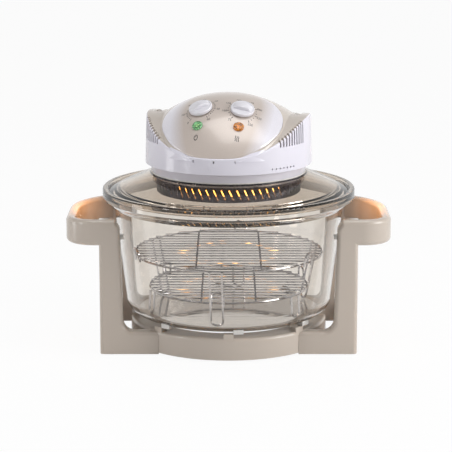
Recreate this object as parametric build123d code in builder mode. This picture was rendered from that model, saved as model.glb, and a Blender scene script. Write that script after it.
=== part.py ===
"""Countertop halogen oven: a glass bowl in a two-handled plastic stand, two wire racks, and a glass lid
that carries the power head with its lamp, fan, motor, controls and folding carry handle.

Millimetres. +Z is up, the front of the oven is -Y, and the origin is the middle of the stand on the table.
"""

import math
import os

from build123d import *

# ---------------------------------------------------------------- driving sizes
FIT = 0.3  # clearance between pieces that are laid or dropped together
RUNNING = 0.05  # radial clearance of a turning or sliding fit

RIM_R = 170.0  # bowl and lid share this rim
BOWL_TOP = 204.3  # the rim's upper face
GLASS = 4.0  # glass wall

# stand: a ring under the bowl and two arms that end in hand loops
RING_R = 133.0
RING_BORE_R = RING_R - 29.0
RING_WALL = 3.0
RING_BASE = 3.3
RING_TOP = 32.6
RING_LIP = 4.0
POST_COUNT = 8
POST_DEPTH = 10.0
POST_W = 13.0
POST_TOP = 38.0
RIB_T = 2.5

ARM_BASE = 1.5
ARM_FACE_Y = 96.0
ARM_T = 22.0
ARM_OUT_X = RIM_R
ARM_IN_X = ARM_OUT_X - 31.0
ARM_IN_TOP_X = ARM_OUT_X - 27.0
ARM_EDGE = 5.5
ARM_INNER_BEND = 14.0
ARM_TOP_BEND = 17.0
BEAM_TOP = RING_TOP - 1.3
BEAM_END_X = 60.0
RAIL_T = 14.0
LOOP_LOW = 148.0
LOOP_TOP = 182.0
LOOP_OUT_X = ARM_OUT_X + 45.0
LOOP_WALL = 12.5
LOOP_FRONT_BEND = 38.0
LOOP_REAR_X = ARM_OUT_X - 45.0
LOOP_ROOT_X = ARM_OUT_X - 20.0
SCREW_R = 2.0
SCREW_HEAD_R = 3.6
SCREW_HEAD_H = 2.5
ARM_SCREW_Z = 18.0
ARM_SCREW_GRIP = 16.0
BOSS_R = 5.0
FOOT_R = 7.0
FOOT_H = 5.0
BUMPER_Z = 158.0
BUMPER_R = 3.4
BUMPER_H = 4.0

# bowl
BOWL_BASE = POST_TOP + FIT
BOWL_FOOT_R = RING_R - 17.0
BOWL_BEND = 24.0
BOWL_NECK_R = RIM_R - 15.5
BOWL_NECK_Z = 185.0
FLANGE_Z = BOWL_TOP - 7.0

# wire racks
WIRE_R = 1.5
WELD = 0.02  # the legs and loops stand this far off the rim they are welded to
GRID_PITCH = 15.0
LEG_HALF_W = 8.0
LEG_FOOT_R = BOWL_FOOT_R - 4.0
LEG_YAW = -97.5
HIGH_RACK_R = BOWL_FOOT_R + 11.0
HIGH_RACK_Z = 121.0
LOW_RACK_R = BOWL_FOOT_R - 9.0
LOW_RACK_Z = 74.0
LOOP_RISE = 15.0

# glass lid
LID_TOP = BOWL_TOP + 6.0
LID_BEAD_R = RIM_R - 6.5
LID_HOLE_R = 92.0
LID_SEAT_R = LID_HOLE_R + 12.5
LID_SEAT_Z = LID_TOP + 21.2
LID_LIP_R = RIM_R - 20.5
LID_LIP_Z = LID_TOP - 12.3

# power head; it is modelled square and then turned a little on the lid
HEAD_YAW = -10.0
GASKET_T = 1.5
GASKET_IN_R = LID_HOLE_R + 1.0
COLLAR_WALL = 2.5
FLOOR_T = 2.5
SKIRT_R = 112.0
COLLAR_TOP_R = SKIRT_R - 6.5
COLLAR_R = SKIRT_R - 8.5
SKIRT_BASE = LID_SEAT_Z + 13.3
SKIRT_DRAFT = 2.0
SKIRT_WALL = 2.5
SKIRT_EDGE = 2.0
SADDLE_TOP = SKIRT_BASE + 66.2
SADDLE_CREST = (60.0, SADDLE_TOP - 17.5)
SADDLE_RUN = 29.0
SADDLE_END = (SKIRT_R + 6.0, SKIRT_BASE + 18.7)
SADDLE_WALL = 3.5
DOME_A = SKIRT_R - 15.5
DOME_B = SKIRT_R - 1.0
DOME_SIDE_R = DOME_B + 8.0
DOME_FULLNESS = 2.4
DOME_DRAW = 14.0
DOME_FOOT = SKIRT_BASE + 17.2
DOME_RISE = 80.0
DOME_WALL = 4.5
DOME_SIDE_Z = DOME_FOOT - 45.0
DOME_AXIS_Z = DOME_FOOT - 81.0
PANEL_A = DOME_A - 16.5
PANEL_B = 63.0
PANEL_Y = -47.0
PANEL_DEEP = 1.7
PANEL_PROUD = 0.8
PANEL_BORDER = 1.2
VENT_COUNT = 10
VENT_W = 2.6
VENT_FIRST = 47.6
VENT_STEP = 2.7
VENT_BASE = SADDLE_TOP - 33.5
VENT_DEPTH = 6.0
HOLE_COUNT = 7
HOLE_R = 1.25
HOLE_FIRST = 40.5
HOLE_STEP = 3.2
HOLE_Z = SKIRT_BASE + 5.2
NOTCH_X = 27.5
NOTCH_W = 1.8
NOTCH_H = 3.4
NOTCH_LOW = SKIRT_BASE + 15.2
POST_X = 64.0
POST_Y = 45.0
POST_R = 4.5
POST_SCREW_DEEP = 16.0
GROMMET_Z = SKIRT_BASE + 10.2
GROMMET_R = 8.0
CORD_R = 3.6

# carry handle
PIVOT_Z = SADDLE_TOP - 13.0
BAIL_TILT = -2.0
BAIL_HUB_R = 8.5
BAIL_IN_X = SKIRT_R - 21.5
BAIL_W = 7.0
BAIL_T = 10.0
BAIL_SHOULDER = 45.0
BAIL_REACH = SKIRT_R - 12.0
GRIP_W = 14.0
BAIL_EDGE = 3.0
PIN_R = 2.5
SLOT_GAP = 1.0
SLOT_WALL = 2.5
PLUNGER_Y = 25.0
PLUNGER_R = 2.0

# controls
KNOB_X = 27.5
KNOB_Y = -52.5
KNOB_R = 15.8
KNOB_H = 4.0
KNOB_GRIP_H = 5.0
KNOB_GRIP_W = 11.0
KNOB_EDGE = 1.5
KNOB_GAP = 0.6
STEM_R = 3.0
LENS_X = 27.0
LENS_Y = -79.0
LENS_R = 7.0
LENS_BODY_R = 5.5
UNIT_DEEP = 7.5
UNIT_W = 34.0
UNIT_H = 24.0

# heater, fans and motor
GUARD_R = 97.0
GUARD_T = 1.0
GUARD_TOP = LID_SEAT_Z - 7.3
GUARD_BASE = GUARD_TOP - 20.7
GUARD_FLANGE_R = GUARD_R - 18.0
GUARD_SLOTS = 60
GUARD_SLOT_W = 1.6
GUARD_SLOT_H = 14.0
GUARD_SLANT = 25.0
CLAMP_T = 2.5
CLAMP_R = GUARD_R + 4.0
CLAMP_BORE_R = GUARD_R - 19.0
GUARD_SCREW_R = GUARD_R - 13.5
SHIELD_R = GUARD_R - 25.0
SHEET_T = 0.8
REFLECTOR_R = GUARD_R - 20.0
REFLECTOR_TOP = GUARD_TOP + 5.3
LAMP_R = REFLECTOR_R - 11.0
LAMP_TUBE_R = 5.0
LAMP_Z = GUARD_BASE + 8.0
LAMP_END_ANGLE = 18.0
LAMP_END_Z = LAMP_Z + 12.5
HOLDER_R = 8.0
SENSOR_Y = -54.5
SHAFT_R = 3.0
SHAFT_LOW = GUARD_BASE + 8.5
SHAFT_TOP = SHAFT_LOW + 74.0
HOT_FAN_R = 48.0
COOL_FAN_R = 40.0
COOL_FAN_Z = LID_SEAT_Z + 6.0
MOTOR_Z = SKIRT_BASE + 5.2
MOTOR_W = 56.0
STACK_T = 24.0
PILLAR_X = 48.0
ROTOR_R = 14.0

os.makedirs("parts", exist_ok=True)
pieces = {}


def keep(block, name, yaw=0):
    """Turn a finished piece about the upright axis, label it and write its file."""
    piece = block.part.rotate(Axis.Z, yaw) if yaw else block.part
    piece.label = name
    export_step(piece, f"parts/{name}.step")
    pieces[name] = piece


def leaning_plane(angle, radius, height, lean):
    """An upright plane square to a radius, leaning outwards by lean degrees; its Y runs up."""
    turn = math.radians(angle)
    tip = math.radians(lean)
    out = Vector(math.cos(turn), math.sin(turn), 0)
    side = Vector(-math.sin(turn), math.cos(turn), 0)
    up = out * math.sin(tip) + Vector(0, 0, 1) * math.cos(tip)
    return Plane(origin=out * radius + Vector(0, 0, height), x_dir=side, z_dir=side.cross(up))


# ---------------------------------------------------------------- stand ring
def bowl_outer_r(z):
    """Outer radius of the bowl's bottom bend at height z."""
    drop = BOWL_BASE + BOWL_BEND - z
    return BOWL_FOOT_R + math.sqrt(BOWL_BEND**2 - drop**2)


arm_mid_y = ARM_FACE_Y - ARM_T / 2
wall_x = math.sqrt(RING_R**2 - arm_mid_y**2)
boss_x = wall_x - RING_WALL - 8.0
screw_spots = [(sx, sy) for sx in (-1, 1) for sy in (-1, 1)]

with BuildPart() as screw_bosses:
    for sx, sy in screw_spots:
        spot = Plane(origin=(sx * boss_x, sy * arm_mid_y, ARM_SCREW_Z), z_dir=(sx, 0, 0))
        with BuildSketch(spot):
            Circle(BOSS_R)
        extrude(amount=2 * RING_WALL + 8.0)
    # they end inside the ring's wall
    Cylinder(RING_R - RING_WALL / 2, 2 * RING_TOP, mode=Mode.INTERSECT)

with BuildPart() as base_ring:
    with BuildSketch(Plane.XZ):
        with BuildLine():
            Polyline(
                (RING_BORE_R, RING_BASE),
                (RING_BORE_R, RING_TOP),
                (RING_R, RING_TOP),
                (RING_R, RING_BASE),
                (RING_R - RING_WALL, RING_BASE),
                (RING_R - RING_WALL, RING_TOP - RING_WALL),
                (RING_BORE_R + RING_WALL, RING_TOP - RING_WALL),
                (RING_BORE_R + RING_WALL, RING_BASE),
                close=True,
            )
        make_face()
        fillet(vertices().sort_by_distance((RING_R, RING_TOP))[0], RING_LIP)
    revolve(axis=Axis.Z)
    # the posts that lift the bowl's bend clear of the ring
    post_h = POST_TOP - RING_TOP + RING_WALL
    with PolarLocations(RING_R - RING_LIP / 4 - POST_DEPTH / 2, POST_COUNT, start_angle=-90):
        with Locations((0, 0, POST_TOP - post_h / 2)):
            Box(POST_DEPTH, POST_W, post_h)
    # stiffening ribs inside the channel, one under each post
    rib_r = (RING_R + RING_BORE_R) / 2
    with PolarLocations(rib_r, POST_COUNT, start_angle=-90):
        with Locations((0, 0, (RING_BASE + RING_TOP) / 2)):
            Box(RING_R - RING_BORE_R - RING_WALL, RIB_T, RING_TOP - RING_BASE - RING_WALL)
    # bosses that take the arm screws
    add(screw_bosses.part)
    for sx, sy in screw_spots:
        spot = Plane(origin=(sx * (boss_x - 1), sy * arm_mid_y, ARM_SCREW_Z), z_dir=(sx, 0, 0))
        with BuildSketch(spot):
            Circle(SCREW_R + RUNNING)
        extrude(amount=wall_x, mode=Mode.SUBTRACT)
        # room for the screw's head beside the rib
        with BuildSketch(Plane(origin=(sx * boss_x, sy * arm_mid_y, ARM_SCREW_Z), z_dir=(sx, 0, 0))):
            Circle(SCREW_HEAD_R + 1)
        extrude(amount=-4 * SCREW_HEAD_H, mode=Mode.SUBTRACT)
keep(base_ring, "base_ring")


# ---------------------------------------------------------------- stand arms
def loop_plan(inset):
    """Plan of the hand loop: square in front, swept like a quarter ellipse behind."""
    face = ARM_FACE_Y - inset
    side = LOOP_OUT_X - inset
    bend = LOOP_FRONT_BEND - inset
    Line((LOOP_REAR_X, -face), (side - bend, -face))
    CenterArc((side - bend, bend - face), bend, -90, 90)
    Line((side, bend - face), (side, 0))
    EllipticalCenterArc((LOOP_REAR_X, 0), side - LOOP_REAR_X, face, start_angle=0, arc_size=90)
    Line((LOOP_REAR_X, face), (LOOP_REAR_X, -face))


with BuildPart() as hand_loop:
    with BuildSketch(Plane.XY.offset(LOOP_LOW)):
        with BuildLine():
            loop_plan(0)
        make_face()
        with BuildLine():
            loop_plan(LOOP_WALL)
        make_face(mode=Mode.SUBTRACT)
        with Locations((LOOP_ROOT_X, 0)):
            Rectangle(LOOP_OUT_X, 3 * ARM_FACE_Y, align=(Align.MIN, Align.CENTER), mode=Mode.INTERSECT)
    extrude(amount=LOOP_TOP - LOOP_LOW)
    rims = hand_loop.faces().filter_by(Axis.Z).edges()
    fillet(rims.filter_by(lambda e: abs(e.center().X - LOOP_ROOT_X) > 0.5), ARM_EDGE)

with BuildPart() as right_arm:
    for back_y in (ARM_T - ARM_FACE_Y, ARM_FACE_Y):
        with BuildSketch(Plane.XZ.offset(-back_y)):
            with BuildLine():
                Polyline(
                    (ARM_OUT_X, ARM_BASE),
                    (ARM_OUT_X, LOOP_TOP),
                    (ARM_IN_TOP_X, LOOP_TOP),
                    (ARM_IN_X, BEAM_TOP),
                    (BEAM_END_X, BEAM_TOP),
                    (BEAM_END_X, ARM_BASE),
                    close=True,
                )
            make_face()
            fillet(vertices().sort_by_distance((ARM_IN_X, BEAM_TOP))[0], ARM_INNER_BEND)
            fillet(vertices().sort_by_distance((ARM_IN_TOP_X, LOOP_TOP))[0], ARM_TOP_BEND)
        extrude(amount=ARM_T)
    outline = right_arm.faces().filter_by(Axis.Y).edges()
    soft = outline.filter_by(lambda e: e.center().Z > ARM_BASE + 1 and e.center().X > BEAM_END_X + 1)
    fillet(soft, ARM_EDGE)
    # the rail that joins the front and rear frames along the table
    with BuildSketch(Plane.XZ.offset(ARM_T - ARM_FACE_Y)):
        with BuildLine():
            Polyline(
                (ARM_OUT_X, ARM_BASE),
                (ARM_OUT_X, BEAM_TOP),
                (ARM_OUT_X - RAIL_T, BEAM_TOP),
                (ARM_OUT_X - RAIL_T, ARM_BASE),
                close=True,
            )
        make_face()
        fillet(vertices().sort_by_distance((ARM_OUT_X, BEAM_TOP))[0], ARM_EDGE)
        fillet(vertices().sort_by_distance((ARM_OUT_X - RAIL_T, BEAM_TOP))[0], ARM_EDGE)
    extrude(amount=2 * (ARM_FACE_Y - ARM_T))
    add(hand_loop.part)
    # the beams end on the ring
    with Locations((0, 0, RING_TOP / 2)):
        Cylinder(RING_R + FIT, RING_TOP + 20, mode=Mode.SUBTRACT)
    # hollow under the rail
    with Locations((ARM_OUT_X - RAIL_T / 2, 0, ARM_BASE)):
        Box(RAIL_T - 6, 2 * (ARM_FACE_Y - ARM_T), 2 * (BEAM_TOP - 8), mode=Mode.SUBTRACT)
    foot_x = (ARM_OUT_X + ARM_IN_X) / 2
    for sy in (-1, 1):
        with Locations((foot_x, sy * arm_mid_y, ARM_BASE)):
            Cylinder(FOOT_R + 0.1, 2 * (FOOT_H - ARM_BASE), mode=Mode.SUBTRACT)
        with BuildSketch(Plane(origin=(wall_x - 12, sy * arm_mid_y, ARM_SCREW_Z), z_dir=(1, 0, 0))):
            Circle(SCREW_R + RUNNING)
        extrude(amount=12 + ARM_SCREW_GRIP + 1, mode=Mode.SUBTRACT)
        with BuildSketch(Plane(origin=(ARM_IN_X, sy * arm_mid_y, BUMPER_Z), z_dir=(1, 0, 0))):
            Circle(BUMPER_R / 2 + RUNNING)
        extrude(amount=14, mode=Mode.SUBTRACT)
keep(right_arm, "right_arm")

with BuildPart() as left_arm:
    add(mirror(right_arm.part, about=Plane.YZ))
keep(left_arm, "left_arm")

with BuildPart() as arm_screws:
    for sx, sy in screw_spots:
        seat = Plane(origin=(sx * boss_x, sy * arm_mid_y, ARM_SCREW_Z), z_dir=(sx, 0, 0))
        with BuildSketch(seat):
            Circle(SCREW_R)
        extrude(amount=wall_x - boss_x + ARM_SCREW_GRIP)
        with BuildSketch(seat):
            Circle(SCREW_HEAD_R)
        extrude(amount=-SCREW_HEAD_H)
keep(arm_screws, "arm_screws")

with BuildPart() as rubber_feet:
    with GridLocations(2 * foot_x, 2 * arm_mid_y, 2, 2):
        with Locations((0, 0, FOOT_H / 2)):
            Cylinder(FOOT_R, FOOT_H)
    chamfer(rubber_feet.edges().group_by(Axis.Z)[0], 0.8)
keep(rubber_feet, "rubber_feet")

# silicone pads on the posts follow the bowl's bend
pad_in = RING_R - RING_LIP / 4 - POST_DEPTH
pad_out = RING_R - RING_LIP / 4
bend_z = BOWL_BASE + BOWL_BEND
pad_bend = BOWL_BEND + FIT


def pad_z(r):
    """Height of the pad's top at radius r, just under the bowl."""
    return bend_z - math.sqrt(pad_bend**2 - (r - BOWL_FOOT_R) ** 2)


with BuildPart() as one_pad:
    with BuildSketch(Plane.XZ):
        with BuildLine():
            mid_r = (pad_in + pad_out) / 2
            ThreePointArc((pad_in, pad_z(pad_in)), (mid_r, pad_z(mid_r)), (pad_out, pad_z(pad_out)))
            Polyline(
                (pad_out, pad_z(pad_out)),
                (pad_out, POST_TOP),
                (pad_in, POST_TOP),
                (pad_in, pad_z(pad_in)),
            )
        make_face()
    revolve(axis=Axis.Z, revolution_arc=math.degrees(POST_W / pad_out))

with BuildPart() as bowl_pads:
    half_pad = math.degrees(POST_W / pad_out) / 2
    for n in range(POST_COUNT):
        add(one_pad.part.rotate(Axis.Z, -90 + half_pad + n * 360 / POST_COUNT))
keep(bowl_pads, "bowl_pads")

# where the inner face of an arm is at the bumpers' height
bumper_share = (BUMPER_Z - BEAM_TOP) / (LOOP_TOP - BEAM_TOP)
bumper_x = ARM_IN_X + bumper_share * (ARM_IN_TOP_X - ARM_IN_X)
with BuildPart() as bowl_bumpers:
    for sx, sy in screw_spots:
        seat = Plane(origin=(sx * (bumper_x - FIT), sy * arm_mid_y, BUMPER_Z), z_dir=(sx, 0, 0))
        with BuildSketch(seat):
            Circle(BUMPER_R)
        extrude(amount=-BUMPER_H)
        with BuildSketch(seat):
            Circle(BUMPER_R / 2)
        extrude(amount=10)
keep(bowl_bumpers, "bowl_bumpers")

# ---------------------------------------------------------------- glass bowl
with BuildPart() as glass_bowl:
    # the wall's line, run down to the base plane, where the bend rounds it off
    slope = math.atan2(BOWL_NECK_R - BOWL_FOOT_R - BOWL_BEND, BOWL_NECK_Z - BOWL_BASE - BOWL_BEND)
    foot_corner = BOWL_NECK_R - math.tan(slope) * (BOWL_NECK_Z - BOWL_BASE)
    with BuildSketch(Plane.XZ):
        with BuildLine():
            Polyline(
                (0, BOWL_BASE),
                (foot_corner, BOWL_BASE),
                (BOWL_NECK_R, BOWL_NECK_Z),
                (RIM_R, FLANGE_Z),
                (RIM_R, BOWL_TOP),
                (BOWL_NECK_R - GLASS, BOWL_TOP),
                (BOWL_NECK_R - GLASS, BOWL_NECK_Z + GLASS),
                (foot_corner - GLASS, BOWL_BASE + GLASS),
                (0, BOWL_BASE + GLASS),
                close=True,
            )
        make_face()
        fillet(vertices().sort_by_distance((foot_corner, BOWL_BASE))[0], BOWL_BEND)
        fillet(vertices().sort_by_distance((foot_corner - GLASS, BOWL_BASE + GLASS))[0], BOWL_BEND - GLASS)
    revolve(axis=Axis.Z)
keep(glass_bowl, "glass_bowl")


# ---------------------------------------------------------------- wire racks
def hairpin(plane, start, turn, sweep_angle):
    """A wire bent in a half round between two straight shanks, drawn in the given plane."""
    with BuildLine(plane) as wire:
        Line((-LEG_HALF_W, start), (-LEG_HALF_W, turn))
        CenterArc((0, turn), LEG_HALF_W, 180, sweep_angle)
        Line((LEG_HALF_W, turn), (LEG_HALF_W, start))
    with BuildPart() as bent:
        with BuildSketch(Plane(origin=wire.line @ 0, z_dir=wire.line % 0)):
            RegularPolygon(WIRE_R, 6)
        sweep(path=wire.line)
    return bent.part


def rack(rim_r, rim_z, yaw, name):
    """A round grid of parallel wires on a rim, with three hairpin legs and three lifting loops."""
    floor_z = BOWL_BASE + GLASS
    lean = math.atan2(rim_r + 2 * WIRE_R - LEG_FOOT_R, rim_z - floor_z)
    with BuildPart() as grid:
        with BuildSketch(Plane.XZ):
            with Locations((rim_r, rim_z)):
                RegularPolygon(WIRE_R, 6)
        revolve(axis=Axis.Z)
        lines = int((rim_r - 2 * WIRE_R) // GRID_PITCH)
        for n in range(-lines, lines + 1):
            y = n * GRID_PITCH
            half = math.sqrt(rim_r**2 - y**2)
            with BuildSketch(Plane(origin=(-half, y, rim_z + 1.6 * WIRE_R), z_dir=(1, 0, 0))):
                RegularPolygon(0.8 * WIRE_R, 6)
            extrude(amount=2 * half)
        for x in (-rim_r / 3, rim_r / 3):
            half = math.sqrt(rim_r**2 - x**2)
            with BuildSketch(Plane(origin=(x, -half, rim_z), z_dir=(0, 1, 0))):
                RegularPolygon(WIRE_R, 6)
            extrude(amount=2 * half)
    keep(grid, name)
    # the legs run down from the rim to the bowl's floor, with lifting loops upside down between them
    hang_r = rim_r + (2 * WIRE_R + WELD) / math.cos(lean)
    drop = (rim_z - floor_z - 2.0) / math.cos(lean) - LEG_HALF_W
    with BuildPart() as legs:
        for n in range(3):
            out = leaning_plane(yaw + 120 * n, hang_r, rim_z, math.degrees(lean))
            add(hairpin(out, 0, -drop, 180))
            out = leaning_plane(yaw + 60 + 120 * n, hang_r, rim_z, math.degrees(lean))
            add(hairpin(out, -2 * WIRE_R, LOOP_RISE - LEG_HALF_W, -180))
    keep(legs, f"{name}_legs")


rack(HIGH_RACK_R, HIGH_RACK_Z, LEG_YAW, "high_rack")
rack(LOW_RACK_R, LOW_RACK_Z, LEG_YAW + 60, "low_rack")

# ---------------------------------------------------------------- glass lid
with BuildPart() as glass_lid:
    with BuildSketch(Plane.XZ):
        with BuildLine():
            bead_foot = LID_BEAD_R - 2.0
            cone_rise = (LID_SEAT_Z - LID_TOP + 3.5) / (bead_foot - LID_SEAT_R)
            under = LID_SEAT_Z - GLASS * math.hypot(1, cone_rise)
            lip_in = LID_LIP_R - GLASS
            Polyline(
                (RIM_R, BOWL_TOP + FIT),
                (RIM_R, LID_TOP),
                (LID_BEAD_R, LID_TOP),
                (bead_foot, LID_TOP - 3.5),
                (LID_SEAT_R, LID_SEAT_Z),
                (LID_HOLE_R, LID_SEAT_Z),
                (LID_HOLE_R, under),
                (LID_SEAT_R, under),
                (lip_in, under - cone_rise * (lip_in - LID_SEAT_R)),
                (lip_in, LID_LIP_Z),
                (LID_LIP_R, LID_LIP_Z),
                (LID_LIP_R, BOWL_TOP + FIT),
                close=True,
            )
        make_face()
        fillet(vertices().sort_by_distance((RIM_R, LID_TOP))[0], 2.5)
        fillet(vertices().sort_by_distance((LID_BEAD_R, LID_TOP))[0], 1.5)
        fillet(vertices().sort_by_distance((LID_LIP_R, LID_LIP_Z))[0], 1.5)
    revolve(axis=Axis.Z)
keep(glass_lid, "glass_lid")

glass_under = LID_SEAT_Z - GLASS * math.hypot(1, cone_rise)
floor_z = LID_SEAT_Z + GASKET_T
floor_top = floor_z + FLOOR_T
clamp_top = glass_under - FIT
clamp_z = clamp_top - CLAMP_T

with BuildPart() as lid_gasket:
    with BuildSketch(Plane.XY.offset(LID_SEAT_Z)):
        Circle(COLLAR_R)
        Circle(GASKET_IN_R, mode=Mode.SUBTRACT)
    extrude(amount=GASKET_T)
keep(lid_gasket, "lid_gasket", HEAD_YAW)


# ---------------------------------------------------------------- head housing
def barrel(lift):
    """The dome's skin as a barrel: an arc over the length, turned about a line along the length."""
    half = DOME_B + 0.5
    side_r = DOME_SIDE_R + lift
    shoulder = DOME_SIDE_Z + math.sqrt(side_r**2 - half**2)
    with BuildPart() as form:
        with BuildSketch(Plane.YZ):
            with BuildLine():
                ThreePointArc((-half, shoulder), (0, DOME_SIDE_Z + side_r), (half, shoulder))
                Polyline((half, shoulder), (half, DOME_AXIS_Z), (-half, DOME_AXIS_Z), (-half, shoulder))
            make_face()
        revolve(axis=Axis((0, 0, DOME_AXIS_Z), (0, 1, 0)))
    return form.part


def oval(half_x, half_y):
    """A full-cheeked oval as points of a superellipse, for a closed spline."""
    ring = [math.radians(30 * n) for n in range(12)]
    power = 2 / DOME_FULLNESS
    return [
        (
            math.copysign(half_x * abs(math.cos(a)) ** power, math.cos(a)),
            math.copysign(half_y * abs(math.sin(a)) ** power, math.sin(a)),
        )
        for a in ring
    ]


def dome_form(inset, lift):
    """The dome: a drafted oval topped by the barrel."""
    with BuildPart() as form:
        for rise, draw in ((0, 0), (DOME_RISE, DOME_DRAW)):
            with BuildSketch(Plane.XY.offset(DOME_FOOT + rise)):
                with BuildLine():
                    Spline(*oval(DOME_A - draw - inset, DOME_B - draw - inset), periodic=True)
                make_face()
        loft()
        add(barrel(lift), mode=Mode.INTERSECT)
    return form.part


def skirt_form(inset, drop, low):
    """The round skirt, topped by the saddle that rises to the handle's pivots."""
    crest_y, crest_z = SADDLE_CREST
    end_y, end_z = SADDLE_END
    with BuildPart() as form:
        with Locations((0, 0, low)):
            Cone(
                SKIRT_R - inset,
                SKIRT_R - SKIRT_DRAFT - inset,
                SADDLE_TOP + 5 - low,
                align=(Align.CENTER, Align.CENTER, Align.MIN),
            )
        with BuildSketch(Plane.YZ):
            with BuildLine():
                # a crown, straight slopes off both its ends, and flares that level out
                crown = ThreePointArc(
                    (-crest_y, crest_z - drop), (0, SADDLE_TOP - drop), (crest_y, crest_z - drop)
                )
                rear_slope = Line(crown @ 1, crown @ 1 + (crown % 1) * SADDLE_RUN)
                rear_flare = TangentArc(rear_slope @ 1, (end_y, end_z - drop), tangent=crown % 1)
                front_slope = Line(crown @ 0, crown @ 0 - (crown % 0) * SADDLE_RUN)
                front_flare = TangentArc(front_slope @ 1, (-end_y, end_z - drop), tangent=(crown % 0) * -1)
                Polyline(rear_flare @ 1, (end_y, low), (-end_y, low), front_flare @ 1)
            make_face()
        extrude(amount=SKIRT_R + 5, both=True, mode=Mode.INTERSECT)
    return form.part


def skin_plane(x, y, lift):
    """A plane lying on the dome's skin at a spot in plan, raised by lift."""
    side = math.sqrt(DOME_SIDE_R**2 - y**2)
    ring = DOME_SIDE_Z + side - DOME_AXIS_Z
    height = math.sqrt(ring**2 - x**2)
    normal = Vector(x / ring * side, y, height / ring * side) / DOME_SIDE_R
    spot = Vector(x, y, DOME_AXIS_Z + height) + normal * lift
    return Plane(origin=spot, x_dir=(normal.Z, 0, -normal.X), z_dir=normal)


def bow(half_width, crest):
    """One outline of the handle: straight arms and an oval bow between them."""
    Line((half_width, 0), (half_width, BAIL_SHOULDER))
    EllipticalCenterArc(
        (0, BAIL_SHOULDER),
        half_width,
        crest - BAIL_SHOULDER,
        start_angle=0,
        arc_size=180,
    )
    Line((-half_width, BAIL_SHOULDER), (-half_width, 0))
    Line((-half_width, 0), (half_width, 0))


def recess_form(grow, low):
    """Room for the folded handle, grown all round: two slots at its hubs, open behind its shoulders."""
    side = bail_out + grow
    rear = BAIL_SHOULDER - grow
    beyond = SKIRT_R + 10
    with BuildPart() as form:
        with BuildSketch(Plane.XY.offset(low)):
            with BuildLine():
                right = [(side, 0), (side, rear), (beyond, rear), (beyond, beyond)]
                Polyline(*right, *[(-x, y) for x, y in reversed(right)], close=True)
            make_face()
            with BuildLine():
                bow(BAIL_IN_X - grow, BAIL_REACH - GRIP_W / 2 - grow)
            make_face(mode=Mode.SUBTRACT)
            with Locations((slot_mid_x, -BAIL_HUB_R - grow), (-slot_mid_x, -BAIL_HUB_R - grow)):
                Rectangle(BAIL_W + 2 * grow, 2 * (BAIL_HUB_R + grow), align=(Align.CENTER, Align.MIN))
        extrude(amount=SADDLE_TOP)
    return form.part


bail_out = BAIL_IN_X + BAIL_W
slot_in = BAIL_IN_X - SLOT_GAP
slot_out = bail_out + SLOT_GAP
slot_low = PIVOT_Z - BAIL_HUB_R - SLOT_GAP - 0.5
slot_mid_x = (slot_in + slot_out) / 2
posts = [(sx * POST_X, sy * POST_Y) for sx in (-1, 1) for sy in (-1, 1)]
post_low = SKIRT_BASE + 2.7

outer_form = skirt_form(0, 0, SKIRT_BASE)
dome_outer = dome_form(0, 0)
with BuildPart() as outside:
    add(outer_form)
    rim = outside.edges().filter_by(lambda e: e.center().Z > SKIRT_BASE + 8)
    fillet(rim.filter_by(lambda e: math.hypot((e @ 0.4).X, (e @ 0.4).Y) > SKIRT_R - 3), SKIRT_EDGE)
    add(dome_outer)

with BuildPart() as inside_parts:
    # material kept inside the shell: the walls of the handle's recess and the screw posts
    add(recess_form(SLOT_GAP + SLOT_WALL, slot_low - SLOT_WALL))
    with Locations(*[(x, y, post_low) for x, y in posts]):
        Cylinder(POST_R, SADDLE_TOP, align=(Align.CENTER, Align.CENTER, Align.MIN))
    add(outside.part, mode=Mode.INTERSECT)

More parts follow.
